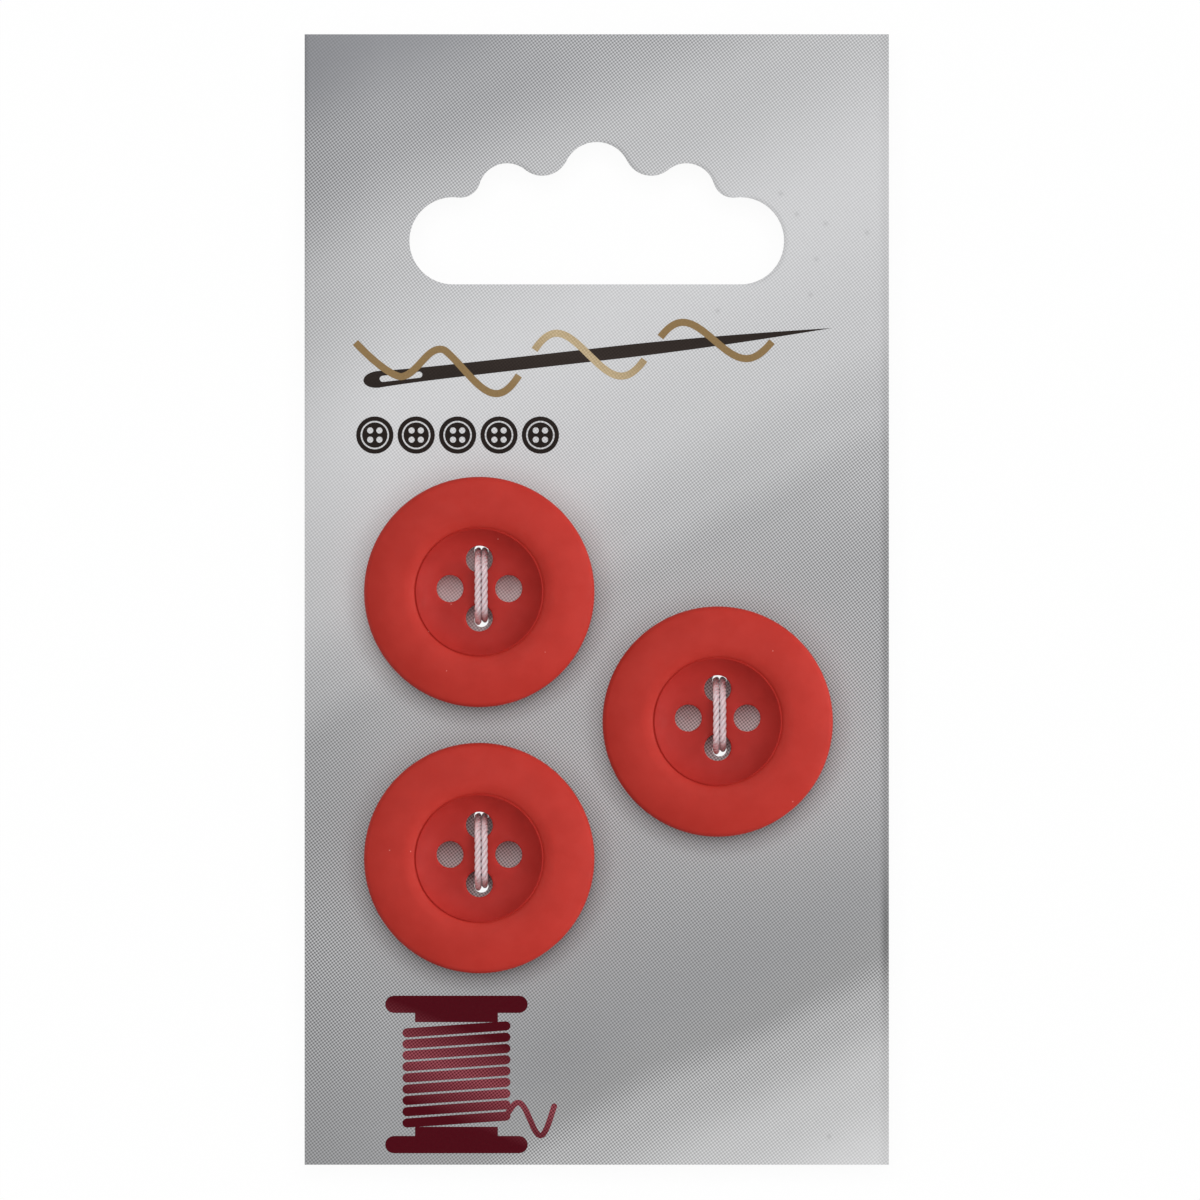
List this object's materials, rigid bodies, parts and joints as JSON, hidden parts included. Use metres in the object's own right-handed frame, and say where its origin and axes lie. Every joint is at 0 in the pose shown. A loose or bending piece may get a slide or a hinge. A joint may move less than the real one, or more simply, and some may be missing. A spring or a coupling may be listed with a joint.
{
  "type": "card of buttons",
  "caption": "Printed hang card with a lobed hang slot, carrying dished four-hole sewing buttons that are sewn on with thread knotted on the back.",
  "frame": {"origin": "middle of the card's outline, on the surface that the knots on its back lie on", "axes": "+X to the right of the printed face, +Y up the card towards the hang slot, +Z out of the printed face"},
  "size_m": [0.0508, 0.0984, 0.0055],
  "materials": {
    "board": "printed board, satin",
    "polyester": "turned and tumbled, matte",
    "thread": "plied sewing thread"
  },
  "bodies": {
    "root": {"card": "board", "button_upper_left": "polyester", "button_lower_left": "polyester", "button_right": "polyester", "thread_upper_left": "thread", "thread_lower_left": "thread", "thread_right": "thread"}
  },
  "joints": []
}
